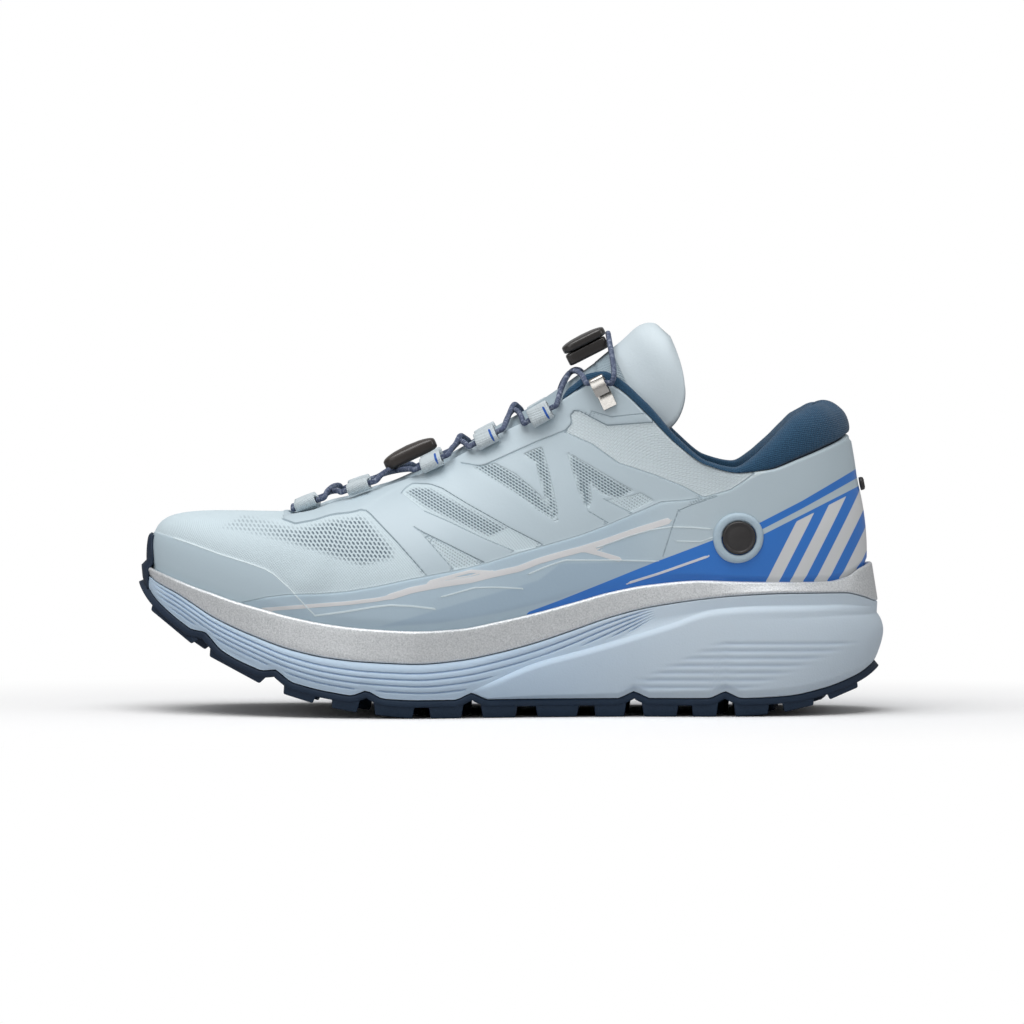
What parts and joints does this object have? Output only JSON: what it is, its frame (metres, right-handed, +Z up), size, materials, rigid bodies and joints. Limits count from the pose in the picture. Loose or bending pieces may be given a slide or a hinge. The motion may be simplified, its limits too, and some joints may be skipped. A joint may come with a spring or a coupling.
{
  "type": "trail running shoe",
  "caption": "Left trail running shoe with lugged rubber outsole, tall rockered foam midsole, silver carrier rim, film-covered mesh upper, knit collar and a quick-lace cord lock.",
  "frame": {"origin": "on the ground under the middle of the shoe's bounding box", "axes": "+X from toe to heel, +Y to the inner (medial) side of this left shoe, +Z up"},
  "size_m": [0.2911, 0.112, 0.1507],
  "materials": {
    "ice_blue_film": "mesh with a satin film",
    "ice_blue_foam": "matte moulded foam",
    "silver_paint": "silver paint on moulded foam",
    "navy_rubber": "matte",
    "navy_textile": "ribbed knit",
    "black_plastic": "satin",
    "polished_steel": "polished",
    "slate_cord": "braided",
    "pale_webbing": "woven",
    "pale_insole": "brushed"
  },
  "bodies": {
    "root": {"outsole": "navy_rubber", "midsole": "ice_blue_foam", "midsole_carrier": "silver_paint", "insole": "pale_insole", "upper": "ice_blue_film", "toe_guard": "navy_rubber", "collar": "navy_textile", "tongue": "ice_blue_film", "lace_front_bar": "slate_cord", "lace_top_bar": "slate_cord", "lace_hook_lateral": "polished_steel", "lace_hook_medial": "polished_steel", "cord_lock_body": "black_plastic", "cord_lock_cover": "black_plastic", "lace_keeper": "black_plastic", "gaiter_snap": "black_plastic", "gaiter_snap_ring": "ice_blue_film", "heel_stud": "black_plastic", "lace_crossing_1": "slate_cord", "lace_loop_lateral_1": "pale_webbing", "lace_loop_medial_1": "pale_webbing", "lace_crossing_2": "slate_cord", "lace_loop_lateral_2": "pale_webbing", "lace_loop_medial_2": "pale_webbing", "lace_crossing_3": "slate_cord", "lace_loop_lateral_3": "pale_webbing", "lace_loop_medial_3": "pale_webbing", "lace_crossing_4": "slate_cord", "lace_loop_lateral_4": "pale_webbing", "lace_loop_medial_4": "pale_webbing", "lace_crossing_5": "slate_cord", "lace_loop_lateral_5": "pale_webbing", "lace_loop_medial_5": "pale_webbing"}
  },
  "joints": []
}
